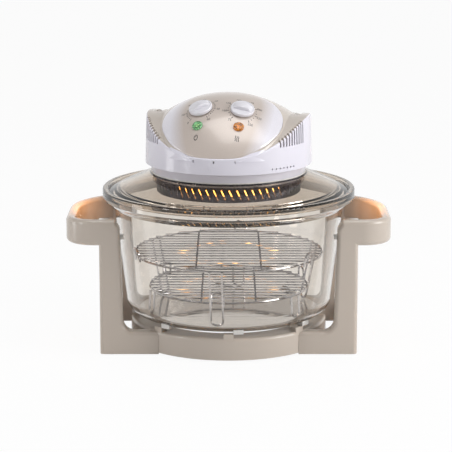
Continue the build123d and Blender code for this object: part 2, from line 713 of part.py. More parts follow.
with BuildPart() as upper_housing:
    add(outside.part)
    add(skirt_form(SKIRT_WALL, SADDLE_WALL, SKIRT_BASE - 1), mode=Mode.SUBTRACT)
    add(dome_form(SKIRT_WALL, -DOME_WALL), mode=Mode.SUBTRACT)
    add(inside_parts.part)
    # the recess the handle folds into, and the holes for its pins
    add(recess_form(SLOT_GAP, slot_low), mode=Mode.SUBTRACT)
    with BuildSketch(Plane.YZ.offset(slot_in - 4)):
        with Locations((0, PIVOT_Z)):
            Circle(PIN_R + RUNNING)
    extrude(amount=slot_out - slot_in + 8, mode=Mode.SUBTRACT)
    with BuildSketch(Plane.YZ.offset(-slot_in + 4)):
        with Locations((0, PIVOT_Z)):
            Circle(PIN_R + RUNNING)
    extrude(amount=-(slot_out - slot_in + 8), mode=Mode.SUBTRACT)
    # the safety switch's plunger passes the floor of the right slot
    with Locations((slot_mid_x, PLUNGER_Y, slot_low)):
        Cylinder(PLUNGER_R + 0.1, 4 * SLOT_WALL, mode=Mode.SUBTRACT)
    # screw holes in the posts
    with Locations(*[(x, y, post_low) for x, y in posts]):
        Cylinder(SCREW_R + RUNNING, 2 * POST_SCREW_DEEP, mode=Mode.SUBTRACT)
    # louvres on both sides, a row of air holes and three notches in front
    for side in (-1, 1):
        for n in range(VENT_COUNT):
            turn = -90 + side * (VENT_FIRST + n * VENT_STEP)
            with PolarLocations(SKIRT_R - VENT_DEPTH, 1, start_angle=turn):
                with Locations((0, 0, VENT_BASE)):
                    Box(
                        2 * VENT_DEPTH,
                        VENT_W,
                        50,
                        align=(Align.MIN, Align.CENTER, Align.MIN),
                        mode=Mode.SUBTRACT,
                    )
    for n in range(HOLE_COUNT):
        turn = math.radians(-90 + HOLE_FIRST + n * HOLE_STEP)
        out = Vector(math.cos(turn), math.sin(turn), 0)
        with BuildSketch(Plane(origin=out * (SKIRT_R - 6) + Vector(0, 0, HOLE_Z), z_dir=out)):
            Circle(HOLE_R)
        extrude(amount=10, mode=Mode.SUBTRACT)
    for x in (-NOTCH_X, 0, NOTCH_X):
        with Locations((x, -SKIRT_R, NOTCH_LOW)):
            Box(NOTCH_W, 12, NOTCH_H, align=(Align.CENTER, Align.CENTER, Align.MIN), mode=Mode.SUBTRACT)
    # cord opening at the back
    with BuildSketch(Plane.XZ.offset(-SKIRT_R + 8)):
        with Locations((0, GROMMET_Z)):
            Circle(GROMMET_R - 2)
    extrude(amount=-16, mode=Mode.SUBTRACT)

with BuildPart() as panel_plan:
    with BuildSketch(Plane.XY.offset(DOME_FOOT - 10)):
        with Locations((0, PANEL_Y)):
            Ellipse(PANEL_A, PANEL_B)
    extrude(amount=DOME_RISE + 20)

with BuildPart() as pocket:
    with BuildSketch(Plane.XY.offset(DOME_FOOT - 10)):
        with Locations((0, PANEL_Y)):
            Ellipse(PANEL_A + FIT, PANEL_B + FIT)
    extrude(amount=DOME_RISE + 20)
    add(dome_form(PANEL_BORDER - FIT, 5), mode=Mode.INTERSECT)
    add(barrel(-PANEL_DEEP - FIT), mode=Mode.SUBTRACT)

knob_spots = {"timer": -1, "thermostat": 1}
grip_turns = {"timer": 25.0, "thermostat": 0.0}
with BuildPart() as upper_housing_done:
    add(upper_housing.part)
    add(pocket.part, mode=Mode.SUBTRACT)
    for side in (-1, 1):
        with BuildSketch(skin_plane(side * KNOB_X, KNOB_Y, 5)):
            Circle(STEM_R + 0.5)
        extrude(amount=-20, mode=Mode.SUBTRACT)
        with BuildSketch(skin_plane(side * LENS_X, LENS_Y, 5)):
            Circle(LENS_BODY_R + FIT)
        extrude(amount=-20, mode=Mode.SUBTRACT)
keep(upper_housing_done, "upper_housing", HEAD_YAW)

with BuildPart() as control_panel:
    add(panel_plan.part)
    add(dome_form(PANEL_BORDER, PANEL_PROUD), mode=Mode.INTERSECT)
    add(barrel(-PANEL_DEEP), mode=Mode.SUBTRACT)
    for side in (-1, 1):
        with BuildSketch(skin_plane(side * KNOB_X, KNOB_Y, 5)):
            Circle(STEM_R + 0.5)
        extrude(amount=-20, mode=Mode.SUBTRACT)
        with BuildSketch(skin_plane(side * LENS_X, LENS_Y, 5)):
            Circle(LENS_BODY_R + FIT)
        extrude(amount=-20, mode=Mode.SUBTRACT)
keep(control_panel, "control_panel", HEAD_YAW)

with BuildPart() as lower_housing:
    with BuildSketch(Plane.XZ):
        with BuildLine():
            Polyline(
                (SHAFT_R + 1, floor_z),
                (COLLAR_R, floor_z),
                (COLLAR_TOP_R, SKIRT_BASE + FIT),
                (SKIRT_R - SKIRT_WALL - FIT, SKIRT_BASE + FIT),
                (SKIRT_R - SKIRT_WALL - FIT, post_low),
                (COLLAR_TOP_R - COLLAR_WALL, post_low),
                (COLLAR_R - COLLAR_WALL, floor_top),
                (SHAFT_R + 1, floor_top),
                close=True,
            )
        make_face()
    revolve(axis=Axis.Z)
    # spigot that centres the head in the glass
    with BuildSketch(Plane.XY.offset(floor_z)):
        Circle(LID_HOLE_R - FIT)
        Circle(LID_HOLE_R - FIT - COLLAR_WALL, mode=Mode.SUBTRACT)
    extrude(amount=glass_under - floor_z)
    # bosses for the guard screws below, for the housing screws and the motor above
    with PolarLocations(GUARD_SCREW_R, 3):
        with Locations((0, 0, clamp_top)):
            Cylinder(POST_R, floor_z - clamp_top, align=(Align.CENTER, Align.CENTER, Align.MIN))
    with Locations(*[(x, y, floor_top) for x, y in posts]):
        Cylinder(POST_R, post_low - floor_top - FIT, align=(Align.CENTER, Align.CENTER, Align.MIN))
    with Locations((-PILLAR_X, 0, floor_top), (PILLAR_X, 0, floor_top)):
        Cylinder(POST_R, MOTOR_Z - floor_top, align=(Align.CENTER, Align.CENTER, Align.MIN))
    with PolarLocations(GUARD_SCREW_R, 3):
        with Locations((0, 0, clamp_top)):
            Cylinder(SCREW_R + RUNNING, 12, mode=Mode.SUBTRACT)
    with Locations(*[(x, y, floor_z) for x, y in posts]):
        Cylinder(SCREW_R + RUNNING, 2 * (post_low - floor_z), mode=Mode.SUBTRACT)
    with Locations((0, SENSOR_Y, floor_z)):
        Cylinder(2.8, 4 * FLOOR_T, mode=Mode.SUBTRACT)
keep(lower_housing, "lower_housing", HEAD_YAW)

with BuildPart() as housing_screws:
    for x, y in posts:
        with BuildSketch(Plane.XY.offset(floor_z)):
            with Locations((x, y)):
                Circle(SCREW_R)
        extrude(amount=post_low - floor_z + POST_SCREW_DEEP - 2)
        with BuildSketch(Plane.XY.offset(floor_z)):
            with Locations((x, y)):
                Circle(SCREW_HEAD_R)
        extrude(amount=-SCREW_HEAD_H)
keep(housing_screws, "housing_screws", HEAD_YAW)

with BuildPart() as lid_clamp_ring:
    with BuildSketch(Plane.XY.offset(clamp_z)):
        Circle(CLAMP_R)
        Circle(CLAMP_BORE_R, mode=Mode.SUBTRACT)
        with PolarLocations(GUARD_SCREW_R, 3):
            Circle(SCREW_R + RUNNING, mode=Mode.SUBTRACT)
    extrude(amount=CLAMP_T)
keep(lid_clamp_ring, "lid_clamp_ring", HEAD_YAW)

skirt_at_cord = SKIRT_R - SKIRT_DRAFT * (GROMMET_Z - SKIRT_BASE) / (SADDLE_TOP + 5 - SKIRT_BASE)
with BuildPart() as cord_grommet:
    with BuildSketch(Plane.YZ):
        with BuildLine():
            Polyline(
                (skirt_at_cord + FIT + 2, GROMMET_Z + CORD_R),
                (skirt_at_cord + FIT + 2, GROMMET_Z + GROMMET_R),
                (skirt_at_cord + FIT, GROMMET_Z + GROMMET_R),
                (skirt_at_cord + FIT, GROMMET_Z + GROMMET_R - 2 - FIT),
                (skirt_at_cord - SKIRT_WALL - 3 * FIT, GROMMET_Z + GROMMET_R - 2 - FIT),
                (skirt_at_cord - SKIRT_WALL - 3 * FIT, GROMMET_Z + GROMMET_R - 1),
                (skirt_at_cord - SKIRT_WALL - 3 * FIT - 2, GROMMET_Z + GROMMET_R - 1),
                (skirt_at_cord - SKIRT_WALL - 3 * FIT - 2, GROMMET_Z + CORD_R),
                close=True,
            )
        make_face()
    revolve(axis=Axis((0, 0, GROMMET_Z), (0, 1, 0)))
keep(cord_grommet, "cord_grommet", HEAD_YAW)

# ---------------------------------------------------------------- carry handle and its switch
tilt = math.radians(BAIL_TILT)
bail_plane = Plane(origin=(0, 0, PIVOT_Z), x_dir=(1, 0, 0), z_dir=(0, -math.sin(tilt), math.cos(tilt)))

with BuildPart() as handle:
    with BuildSketch(bail_plane.offset(-BAIL_T / 2)):
        with BuildLine():
            bow(bail_out, BAIL_REACH + GRIP_W / 2)
        make_face()
        with BuildLine():
            bow(BAIL_IN_X, BAIL_REACH - GRIP_W / 2)
        make_face(mode=Mode.SUBTRACT)
    extrude(amount=BAIL_T)
    faces_up = handle.faces().filter_by(Axis(origin=(0, 0, 0), direction=bail_plane.z_dir))
    rims = faces_up.edges()
    fillet(rims.filter_by(lambda e: bail_plane.to_local_coords(e.center()).Y > 0.5), BAIL_EDGE)
    for side in (-1, 1):
        with BuildSketch(Plane.YZ.offset(side * BAIL_IN_X)):
            with Locations((0, PIVOT_Z)):
                Circle(BAIL_HUB_R)
        extrude(amount=side * BAIL_W)
        with BuildSketch(Plane.YZ.offset(side * (BAIL_IN_X - 1))):
            with Locations((0, PIVOT_Z)):
                Circle(PIN_R + RUNNING)
        extrude(amount=side * (BAIL_W + 2), mode=Mode.SUBTRACT)
keep(handle, "handle", HEAD_YAW)

with BuildPart() as handle_pins:
    for side in (-1, 1):
        with BuildSketch(Plane.YZ.offset(side * (slot_in - SLOT_WALL))):
            with Locations((0, PIVOT_Z)):
                Circle(PIN_R)
        extrude(amount=side * (slot_out - slot_in + 2 * SLOT_WALL))
keep(handle_pins, "handle_pins", HEAD_YAW)

slope_drop = PLUNGER_Y * math.tan(tilt) - PLUNGER_R * abs(math.tan(tilt))
arm_under = PIVOT_Z + slope_drop - BAIL_T / 2 / math.cos(tilt)
plunger_low = slot_low - SLOT_WALL - 6
with BuildPart() as switch_plunger:
    with Locations((slot_mid_x, PLUNGER_Y, plunger_low)):
        Cylinder(PLUNGER_R, arm_under - FIT - plunger_low, align=(Align.CENTER, Align.CENTER, Align.MIN))
keep(switch_plunger, "switch_plunger", HEAD_YAW)

with BuildPart() as micro_switch:
    with Locations((slot_mid_x, PLUNGER_Y, slot_low - SLOT_WALL - FIT)):
        Box(10, 22, 17, align=(Align.CENTER, Align.CENTER, Align.MAX))
        Cylinder(PLUNGER_R + 0.1, 20, mode=Mode.SUBTRACT)
    with GridLocations(0, 8, 1, 2):
        with Locations((slot_mid_x, PLUNGER_Y, slot_low - SLOT_WALL - FIT - 17)):
            Box(4, 1, 6, align=(Align.CENTER, Align.CENTER, Align.MAX))
keep(micro_switch, "micro_switch", HEAD_YAW)

# ---------------------------------------------------------------- controls
def knob_grip(base, turn):
    """The arched grip across a knob, turned on the knob's own plane."""
    turn = math.radians(turn)
    along = base.x_dir * math.cos(turn) + base.y_dir * math.sin(turn)
    with BuildPart() as grip:
        with BuildSketch(Plane(origin=base.origin, x_dir=along, z_dir=along.cross(base.z_dir))):
            with BuildLine():
                length = KNOB_R - KNOB_EDGE
                EllipticalCenterArc((0, 0), length, KNOB_H + KNOB_GRIP_H, start_angle=0, arc_size=180)
                Line((-length, 0), (length, 0))
            make_face()
        extrude(amount=KNOB_GRIP_W / 2, both=True)
        fillet(grip.edges().filter_by(GeomType.ELLIPSE), KNOB_EDGE)
    return grip.part


for name, side in knob_spots.items():
    base = skin_plane(side * KNOB_X, KNOB_Y, PANEL_PROUD + KNOB_GAP)
    with BuildPart() as knob:
        with BuildSketch(base):
            Circle(KNOB_R)
        extrude(amount=KNOB_H)
        fillet(knob.edges().sort_by(lambda e: base.to_local_coords(e.center()).Z)[-1], KNOB_EDGE)
        add(knob_grip(base, grip_turns[name]))
        with BuildSketch(base):
            Circle(STEM_R)
        extrude(amount=-(PANEL_PROUD + KNOB_GAP + UNIT_DEEP + 10))
    keep(knob, f"{name}_knob", HEAD_YAW)
    with BuildPart() as unit:
        with BuildSketch(skin_plane(side * KNOB_X, KNOB_Y, -UNIT_DEEP)):
            RectangleRounded(UNIT_W, UNIT_W, 3) if name == "thermostat" else Circle(UNIT_W / 2)
        extrude(amount=-UNIT_H)
        # threaded neck up to the shell
        with BuildSketch(skin_plane(side * KNOB_X, KNOB_Y, -UNIT_DEEP)):
            Circle(2 * STEM_R)
        extrude(amount=UNIT_DEEP - DOME_WALL - FIT)
        with BuildSketch(skin_plane(side * KNOB_X, KNOB_Y, 0)):
            Circle(STEM_R + RUNNING)
        extrude(amount=-UNIT_DEEP - 12, mode=Mode.SUBTRACT)
        with BuildSketch(skin_plane(side * KNOB_X, KNOB_Y, -UNIT_DEEP - UNIT_H)):
            with GridLocations(12, 0, 2, 1):
                Rectangle(1, 6)
        extrude(amount=-7)
    keep(unit, f"{name}_unit", HEAD_YAW)

lens_spots = {"power": -1, "heat": 1}
for name, side in lens_spots.items():
    seat = skin_plane(side * LENS_X, LENS_Y, PANEL_PROUD + 0.3)
    with BuildPart() as lens:
        with BuildSketch(seat):
            Circle(LENS_R)
        extrude(amount=2.5)
        fillet(lens.edges().sort_by(lambda e: seat.to_local_coords(e.center()).Z)[-1], 2.0)
        with BuildSketch(seat):
            Circle(LENS_BODY_R)
            Circle(3.3, mode=Mode.SUBTRACT)
        extrude(amount=-9)
    keep(lens, f"{name}_lamp_lens", HEAD_YAW)

with BuildPart() as indicator_bulbs:
    for side in (-1, 1):
        with BuildSketch(skin_plane(side * LENS_X, LENS_Y, PANEL_PROUD - 0.5)):
            Circle(3.0)
        extrude(amount=-14)
keep(indicator_bulbs, "indicator_bulbs", HEAD_YAW)

# ---------------------------------------------------------------- heater
lamp_ends = [90 - LAMP_END_ANGLE, 90 + LAMP_END_ANGLE]
end_spots = [(LAMP_R * math.cos(math.radians(a)), LAMP_R * math.sin(math.radians(a))) for a in lamp_ends]
ROOT = Align.MIN

with BuildPart() as halogen_lamp:
    with BuildSketch(Plane.XZ):
        with Locations((LAMP_R, LAMP_Z)):
            Circle(LAMP_TUBE_R)
    revolve(axis=Axis.Z, revolution_arc=360 - 2 * LAMP_END_ANGLE)
    halogen = halogen_lamp.part

with BuildPart() as halogen_lamp_done:
    # the gap is turned to the back, and both ends are bent up into their holders
    add(halogen.rotate(Axis.Z, 90 + LAMP_END_ANGLE))
    for x, y in end_spots:
        with Locations((x, y, LAMP_Z)):
            Sphere(LAMP_TUBE_R)
            Cylinder(LAMP_TUBE_R, LAMP_END_Z - LAMP_Z, align=(Align.CENTER, Align.CENTER, Align.MIN))
keep(halogen_lamp_done, "halogen_lamp", HEAD_YAW)

shield_z = floor_z - SHEET_T
with BuildPart() as lamp_holders:
    for x, y in end_spots:
        with Locations((x, y, LAMP_END_Z - 3)):
            Cylinder(HOLDER_R, shield_z - LAMP_END_Z + 3, align=(Align.CENTER, Align.CENTER, Align.MIN))
            Cylinder(LAMP_TUBE_R + 0.1, 6.2, mode=Mode.SUBTRACT)
keep(lamp_holders, "lamp_holders", HEAD_YAW)

with BuildPart() as heat_shield:
    with BuildSketch(Plane.XY.offset(shield_z)):
        Circle(SHIELD_R)
        Circle(SHAFT_R + 1, mode=Mode.SUBTRACT)
        with Locations((0, SENSOR_Y)):
            Circle(2.8, mode=Mode.SUBTRACT)
    extrude(amount=SHEET_T)
    with PolarLocations(55, 3, start_angle=-30):
        with Locations((0, 0, REFLECTOR_TOP)):
            Cylinder(3, shield_z - REFLECTOR_TOP, align=(Align.CENTER, Align.CENTER, Align.MIN))
keep(heat_shield, "heat_shield", HEAD_YAW)

with BuildPart() as reflector:
    with BuildSketch(Plane.XZ):
        with BuildLine():
            Polyline(
                (SHAFT_R + 2, REFLECTOR_TOP),
                (REFLECTOR_R, REFLECTOR_TOP),
                (REFLECTOR_R, clamp_z),
                (REFLECTOR_R - SHEET_T, clamp_z),
                (REFLECTOR_R - SHEET_T, REFLECTOR_TOP - SHEET_T),
                (SHAFT_R + 2, REFLECTOR_TOP - SHEET_T),
                close=True,
            )
        make_face()
    revolve(axis=Axis.Z)
    for x, y in end_spots:
        with Locations((x, y, REFLECTOR_TOP)):
            Cylinder(HOLDER_R + FIT, 4, mode=Mode.SUBTRACT)
    with Locations((0, SENSOR_Y, REFLECTOR_TOP)):
        Cylinder(2.8, 4, mode=Mode.SUBTRACT)
keep(reflector, "reflector", HEAD_YAW)

with BuildPart() as mesh_guard:
    with BuildSketch(Plane.XZ):
        with BuildLine():
            Polyline(
                (0, GUARD_BASE),
                (GUARD_R, GUARD_BASE),
                (GUARD_R, clamp_z),
                (GUARD_FLANGE_R, clamp_z),
                (GUARD_FLANGE_R, clamp_z - GUARD_T),
                (GUARD_R - GUARD_T, clamp_z - GUARD_T),
                (GUARD_R - GUARD_T, GUARD_BASE + GUARD_T),
                (0, GUARD_BASE + GUARD_T),
                close=True,
            )
        make_face()
        chamfer(vertices().sort_by_distance((GUARD_R, GUARD_BASE))[0], 1.0)
    revolve(axis=Axis.Z)
    # slanted slots round the side and rings of slots in the bottom
    with PolarLocations(GUARD_R, GUARD_SLOTS):
        with Locations(Location((0, 0, (GUARD_BASE + clamp_z) / 2), (GUARD_SLANT, 0, 0))):
            Box(6, GUARD_SLOT_W, GUARD_SLOT_H, mode=Mode.SUBTRACT)
    for n in range(1, 5):
        with PolarLocations(20 * n + 4, 6 * n + 2):
            with Locations((0, 0, GUARD_BASE)):
                Box(15, 5, 4, mode=Mode.SUBTRACT)
    with PolarLocations(GUARD_SCREW_R, 3):
        with Locations((0, 0, clamp_z)):
            Cylinder(SCREW_R + RUNNING, 6, mode=Mode.SUBTRACT)
keep(mesh_guard, "mesh_guard", HEAD_YAW)

with BuildPart() as guard_screws:
    with PolarLocations(GUARD_SCREW_R, 3):
        with Locations((0, 0, clamp_z - GUARD_T)):
            Cylinder(SCREW_R, GUARD_T + CLAMP_T + 5.5, align=(Align.CENTER, Align.CENTER, Align.MIN))
            Cylinder(SCREW_HEAD_R, 2, align=(Align.CENTER, Align.CENTER, Align.MAX))
keep(guard_screws, "guard_screws", HEAD_YAW)

with BuildPart() as thermostat_sensor:
    with Locations((0, SENSOR_Y, GUARD_BASE + 5)):
        Cylinder(2.5, floor_top - GUARD_BASE - 5, align=(Align.CENTER, Align.CENTER, Align.MIN))
    with Locations((0, SENSOR_Y, floor_top)):
        Cylinder(5, 3, align=(Align.CENTER, Align.CENTER, Align.MIN))
keep(thermostat_sensor, "thermostat_sensor", HEAD_YAW)

# ---------------------------------------------------------------- fans and motor
with BuildPart() as motor_shaft:
    with Locations((0, 0, SHAFT_LOW)):
        Cylinder(SHAFT_R, SHAFT_TOP - SHAFT_LOW, align=(Align.CENTER, Align.CENTER, Align.MIN))
    chamfer(motor_shaft.edges().group_by(Axis.Z)[0], 0.8)
    chamfer(motor_shaft.edges().group_by(Axis.Z)[-1], 0.8)
keep(motor_shaft, "motor_shaft", HEAD_YAW)

fan_top = REFLECTOR_TOP - SHEET_T - 3
with BuildPart() as hot_air_fan:
    with Locations((0, 0, fan_top)):
        Cylinder(HOT_FAN_R, SHEET_T, align=(Align.CENTER, Align.CENTER, Align.MAX))
        Cylinder(8, 11, align=(Align.CENTER, Align.CENTER, Align.MAX))
        Cylinder(SHAFT_R + RUNNING, 40, mode=Mode.SUBTRACT)
    with PolarLocations(HOT_FAN_R - 9, 12):
        with Locations((0, 0, fan_top - SHEET_T)):
            Box(17, 1, 9, align=(Align.CENTER, Align.CENTER, Align.MAX))
keep(hot_air_fan, "hot_air_fan", HEAD_YAW)

with BuildPart() as cooling_fan:
    with Locations((0, 0, COOL_FAN_Z)):
        Cylinder(8, 8.5, align=(Align.CENTER, Align.CENTER, Align.MIN))
    with PolarLocations(COOL_FAN_R / 2 + 3, 7):
        with Locations(Location((0, 0, COOL_FAN_Z + 4.25), (28, 0, 0))):
            Box(COOL_FAN_R - 6, 14, 1)
    with Locations((0, 0, COOL_FAN_Z)):
        Cylinder(SHAFT_R + RUNNING, 40, mode=Mode.SUBTRACT)
keep(cooling_fan, "cooling_fan", HEAD_YAW)

stack_z = MOTOR_Z + 2.5
with BuildPart() as motor_bearings:
    for plate_z, boss in ((MOTOR_Z, -3), (stack_z + STACK_T, 6)):
        width = 2 * PILLAR_X + 2 * POST_R if plate_z == MOTOR_Z else MOTOR_W
        with BuildSketch(Plane.XY.offset(plate_z)):
            Rectangle(width, 14)
        extrude(amount=2.5)
        with Locations((0, 0, plate_z + min(boss, 0))):
            Cylinder(7, abs(boss) + 2, align=(Align.CENTER, Align.CENTER, Align.MIN))
    with Locations((0, 0, MOTOR_Z)):
        Cylinder(SHAFT_R + RUNNING, 100, mode=Mode.SUBTRACT)
keep(motor_bearings, "motor_bearings", HEAD_YAW)

with BuildPart() as motor_stator:
    with BuildSketch(Plane.XY.offset(stack_z)):
        with Locations((0, 11)):
            Rectangle(MOTOR_W, 66)
        with Locations((0, 27)):
            Rectangle(28, 14, mode=Mode.SUBTRACT)
        Circle(ROTOR_R + 0.5, mode=Mode.SUBTRACT)
    extrude(amount=STACK_T)
keep(motor_stator, "motor_stator", HEAD_YAW)

with BuildPart() as motor_coil:
    with Locations((0, 39, stack_z + STACK_T / 2)):
        Box(26, 33, STACK_T + 9)
        Box(60, 10.4, STACK_T + 0.4, mode=Mode.SUBTRACT)
keep(motor_coil, "motor_coil", HEAD_YAW)

with BuildPart() as motor_rotor:
    with Locations((0, 0, stack_z + 1)):
        Cylinder(ROTOR_R, STACK_T - 2, align=(Align.CENTER, Align.CENTER, Align.MIN))
        Cylinder(SHAFT_R + RUNNING, 100, mode=Mode.SUBTRACT)
keep(motor_rotor, "motor_rotor", HEAD_YAW)

# ---------------------------------------------------------------- wiring parts
with BuildPart() as terminal_block:
    with Locations((28, 80, floor_top)):
        Box(30, 12, 11, align=(Align.CENTER, Align.CENTER, Align.MIN))
    with Locations((28, 80, floor_top + 11)):
        with GridLocations(9, 0, 3, 1):
            Cylinder(2, 6, mode=Mode.SUBTRACT)
keep(terminal_block, "terminal_block", HEAD_YAW)

with BuildPart() as thermal_cutout:
    with Locations((-74, 0, floor_top)):
        Cylinder(7, 4, align=(Align.CENTER, Align.CENTER, Align.MIN))
    with Locations((-74, 0, floor_top + 4)):
        Cylinder(5, 4, align=(Align.CENTER, Align.CENTER, Align.MIN))
keep(thermal_cutout, "thermal_cutout", HEAD_YAW)

for name, piece in pieces.items():
    print(name, len(piece.solids()), "solids, valid", all(s.is_valid for s in piece.solids()))
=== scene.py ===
import math

import bmesh
import bpy
from bpy.props import FloatProperty, FloatVectorProperty, PointerProperty
from mathutils import Matrix, Vector


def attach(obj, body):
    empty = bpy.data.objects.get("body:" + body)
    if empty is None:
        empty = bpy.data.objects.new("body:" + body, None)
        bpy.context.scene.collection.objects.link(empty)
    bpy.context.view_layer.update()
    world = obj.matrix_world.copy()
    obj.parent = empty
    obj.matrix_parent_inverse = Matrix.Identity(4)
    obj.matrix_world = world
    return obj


bl_info = {
    "name": "Countertop halogen oven",
    "version": (1, 0, 0),
    "blender": (4, 5, 0),
    "location": "View3D > Sidebar > Oven",
    "description": "Finishes and fine pieces on the packed model of a countertop halogen oven",
    "category": "Add Mesh",
}

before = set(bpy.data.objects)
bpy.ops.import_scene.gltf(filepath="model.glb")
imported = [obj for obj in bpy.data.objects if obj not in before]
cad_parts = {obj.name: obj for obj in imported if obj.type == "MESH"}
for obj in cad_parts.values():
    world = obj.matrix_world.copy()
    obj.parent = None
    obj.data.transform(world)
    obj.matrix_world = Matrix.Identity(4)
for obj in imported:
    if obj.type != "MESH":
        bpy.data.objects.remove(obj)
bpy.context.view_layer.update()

MM = 0.001

# the head's shape as the model has it, in metres
HEAD_YAW = math.radians(-10)
DOME_SIDE_R = 0.119
DOME_SIDE_Z = 0.217
DOME_AXIS_Z = 0.181
SKIRT_R = 0.112
# painted shade: faces inside the skirt below this height are darkened by the factor on the next line, so its
# notches and openings read dark
INSIDE_TOP = 0.2622
PAINTED_SHADE_INSIDE = 0.12
PANEL_PROUD = 0.0008
PANEL_MIDDLE = (0.0, -0.047)
# painted highlight: half sizes of the oval past which the control panel is painted paler, mostly at its left and
# right
PANEL_HIGHLIGHT_OVAL = (0.080, 0.130)
KNOB_SPOT = (0.0275, -0.0525)
KNOB_R = 0.0158
LENS_SPOT = (0.027, -0.079)
LENS_R = 0.007
GUARD_R = 0.097
LAMP_R = 0.066
LAMP_Z = 0.2115

# print on the control panel, in metres
INK = 0.0001
TICK_W = 0.00075
FIGURE_H = 0.0046


# ------------------------------------------------------------------ helpers


def linear(code):
    """An sRGB hex colour as the linear RGBA that Blender's sockets take."""
    parts = [int(code[i : i + 2], 16) / 255 for i in (1, 3, 5)]
    return [c / 12.92 if c <= 0.04045 else ((c + 0.055) / 1.055) ** 2.4 for c in parts] + [1.0]


def add(tree, kind, values=None, links=None, **settings):
    """Add a node to a material, with its settings, socket values and incoming links."""
    node = tree.nodes.new(kind)
    for key, value in settings.items():
        setattr(node, key, value)
    for key, value in (values or {}).items():
        node.inputs[key].default_value = value
    for key, source in (links or {}).items():
        tree.links.new(source, node.inputs[key])
    return node


def material(name, **sockets):
    """A material with one Principled shader, its sockets set, and the tree and shader to build on."""
    made = bpy.data.materials.new(name)
    made.use_nodes = True
    tree = made.node_tree
    shader = tree.nodes["Principled BSDF"]
    for key, value in sockets.items():
        shader.inputs[key.replace("_", " ")].default_value = value
    return made, tree, shader


def place(tree, turn=(0, 0, 0), stretch=(1, 1, 1), **settings):
    """Object coordinates, turned and stretched for a pattern."""
    coords = add(tree, "ShaderNodeTexCoord").outputs["Object"]
    values = {"Rotation": turn, "Scale": stretch}
    return add(tree, "ShaderNodeMapping", values, {"Vector": coords}, **settings).outputs["Vector"]


def distance(tree, vector):
    """How far a pattern's point lies from its middle."""
    return add(tree, "ShaderNodeVectorMath", links={0: vector}, operation="LENGTH").outputs["Value"]


def step(tree, source, low, high):
    """0 below low, 1 above high, and even between them."""
    values = {"From Min": low, "From Max": high}
    return add(tree, "ShaderNodeMapRange", values, {"Value": source}).outputs["Result"]


def maths(tree, operation, first, second):
    """A sum on two values, each a socket or a number."""
    pair = dict(enumerate((first, second)))
    links = {key: item for key, item in pair.items() if hasattr(item, "node")}
    values = {key: item for key, item in pair.items() if key not in links}
    return add(tree, "ShaderNodeMath", values, links, operation=operation).outputs[0]


def shaded(tree, colour, factor):
    """A colour made darker or lighter by a factor."""
    links = {0: colour}
    node = add(tree, "ShaderNodeVectorMath", links=links, operation="SCALE")
    tree.links.new(factor, node.inputs["Scale"])
    return node.outputs[0]


def noise(tree, grain, detail=2, roughness=0.5, vector=None):
    """A noise whose blobs are about grain metres across."""
    vector = vector or place(tree)
    values = {"Scale": 0.5 / grain, "Detail": detail, "Roughness": roughness}
    return add(tree, "ShaderNodeTexNoise", values, {"Vector": vector}).outputs["Fac"]


def spread(tree, source, low, high):
    """Remap a 0 to 1 value to a narrow range."""
    values = {"From Min": 0.3, "From Max": 0.7, "To Min": low, "To Max": high}
    return add(tree, "ShaderNodeMapRange", values, {"Value": source}).outputs["Result"]


def tint(tree, source, first, second):
    """Mix two colours by a value."""
    ramp = add(tree, "ShaderNodeValToRGB", links={"Fac": source})
    ramp.color_ramp.elements[0].position = 0.3
    ramp.color_ramp.elements[0].color = first
    ramp.color_ramp.elements[1].position = 0.7
    ramp.color_ramp.elements[1].color = second
    return ramp.outputs["Color"]


def bump(tree, shader, height, depth, strength=1.0):
    """Raise the surface by a height pattern, depth metres from low to high."""
    values = {"Strength": strength, "Distance": depth}
    made = add(tree, "ShaderNodeBump", values, {"Height": height})
    tree.links.new(made.outputs["Normal"], shader.inputs["Normal"])


# ------------------------------------------------------------------ finishes


def gloss_abs(name, code, roughness=0.2):
    """Injection-moulded gloss ABS: even colour, polished tool, faint orange peel in the highlights."""
    base = linear(code)
    made, tree, shader = material(name, Roughness=roughness, IOR=1.53, Coat_Weight=0.35, Coat_Roughness=0.06)
    shade = [c * 0.985 for c in base[:3]] + [1.0]
    tree.links.new(tint(tree, noise(tree, 0.05), shade, base), shader.inputs["Base Color"])
    tree.links.new(spread(tree, noise(tree, 0.004), roughness - 0.02, roughness + 0.03), shader.inputs["Roughness"])
    bump(tree, shader, noise(tree, 0.0025, 1), 0.000012, 0.5)
    return made


def sprayed_housing(name, top, wall):
    """Moulded ABS: champagne spray on top, the skirt's wall left gloss white, and painted shade that darkens the
    faces inside its foot.
    """
    made, tree, shader = material(name, Roughness=0.24, IOR=1.53, Coat_Weight=0.3, Coat_Roughness=0.07)
    radius = distance(tree, place(tree, stretch=(1, 1, 0)))
    edge = step(tree, radius, SKIRT_R - 0.0033, SKIRT_R - 0.0027)
    colour = tint(tree, edge, linear(top), linear(wall))
    height = add(tree, "ShaderNodeSeparateXYZ", links={0: place(tree)}).outputs["Z"]
    outside = maths(tree, "MAXIMUM", edge, step(tree, height, INSIDE_TOP, INSIDE_TOP + 0.0004))
    # painted shade: darken the faces inside the skirt's foot, so its notches and openings read dark
    colour = shaded(tree, colour, maths(tree, "MAXIMUM", outside, PAINTED_SHADE_INSIDE))
    cloud = spread(tree, noise(tree, 0.05), 0.985, 1.0)
    tree.links.new(shaded(tree, colour, cloud), shader.inputs["Base Color"])
    tree.links.new(spread(tree, noise(tree, 0.004), 0.21, 0.26), shader.inputs["Roughness"])
    bump(tree, shader, noise(tree, 0.0025, 1), 0.000012, 0.5)
    return made


